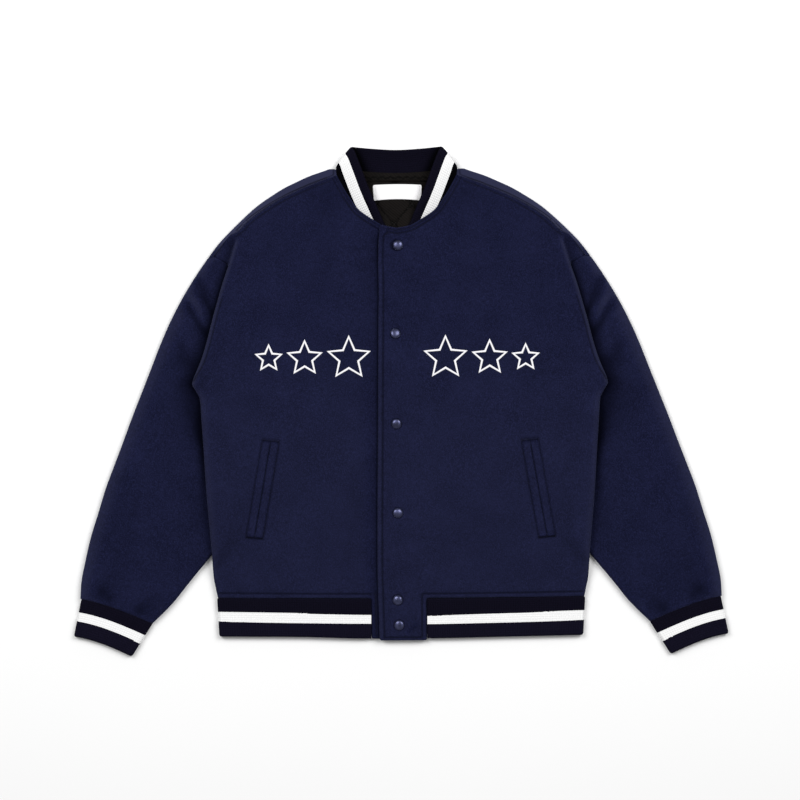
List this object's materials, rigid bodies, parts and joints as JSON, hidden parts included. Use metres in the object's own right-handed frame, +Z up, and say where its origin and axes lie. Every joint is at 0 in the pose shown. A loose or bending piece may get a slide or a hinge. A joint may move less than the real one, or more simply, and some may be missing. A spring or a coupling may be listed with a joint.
{
  "type": "varsity jacket",
  "caption": "Wool varsity jacket laid flat, front closed by snaps, with slanted welt pockets and a striped rib collar, cuffs and hem.",
  "frame": {"origin": "middle of the footprint, on the surface that the jacket lies on", "axes": "+X across the jacket, from the wearer's right sleeve to the left; +Y from the hem to the collar; +Z up, out of the front"},
  "size_m": [0.9498, 0.7382, 0.0295],
  "materials": {
    "wool": "felted navy wool melton with a short nap",
    "rib": "very dark navy rib knit with one white stripe",
    "lining": "black quilted satin",
    "label": "white woven satin, blank",
    "snap_metal": "glossy dark navy enamel on a domed cap"
  },
  "bodies": {
    "root": {"back": "wool", "front_right": "wool", "front_left": "wool", "sleeve_right": "wool", "sleeve_left": "wool", "pocket_right_welt_front": "wool", "pocket_right_welt_side": "wool", "pocket_left_welt_front": "wool", "pocket_left_welt_side": "wool", "collar": "rib", "cuff_right": "rib", "cuff_left": "rib", "hem_rib": "rib", "neck_lining": "lining", "neck_label": "label", "snap_1": "snap_metal", "snap_2": "snap_metal", "snap_3": "snap_metal", "snap_4": "snap_metal", "snap_5": "snap_metal", "snap_6": "snap_metal"}
  },
  "joints": []
}
